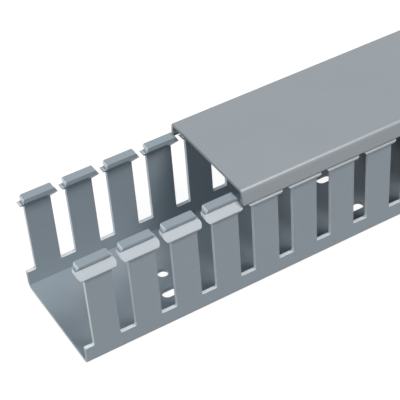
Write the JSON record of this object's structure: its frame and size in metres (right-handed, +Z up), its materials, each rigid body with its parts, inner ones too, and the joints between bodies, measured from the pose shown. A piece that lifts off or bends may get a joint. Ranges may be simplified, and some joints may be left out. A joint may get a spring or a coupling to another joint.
{
  "type": "slotted wire duct",
  "caption": "Straight plastic wiring duct with slotted finger walls, a punched floor and a cover that hooks onto the heads and slides along them.",
  "frame": {"origin": "middle of the base's underside", "axes": "+X along the duct away from the end that the cover leaves open, +Y across it, +Z up from the floor to the cover"},
  "size_m": [1.079, 0.0602, 0.057],
  "materials": {
    "base_plastic": "satin grey extruded hard plastic",
    "cover_plastic": "satin grey extruded hard plastic"
  },
  "bodies": {
    "base": {"duct_base": "base_plastic"},
    "cover": {"duct_cover": "cover_plastic"}
  },
  "joints": [
    {"name": "cover_slide", "type": "slide", "parent": "base", "child": "cover", "axis": [1, 0, 0], "range_m": [-0.079, 0.821]}
  ]
}
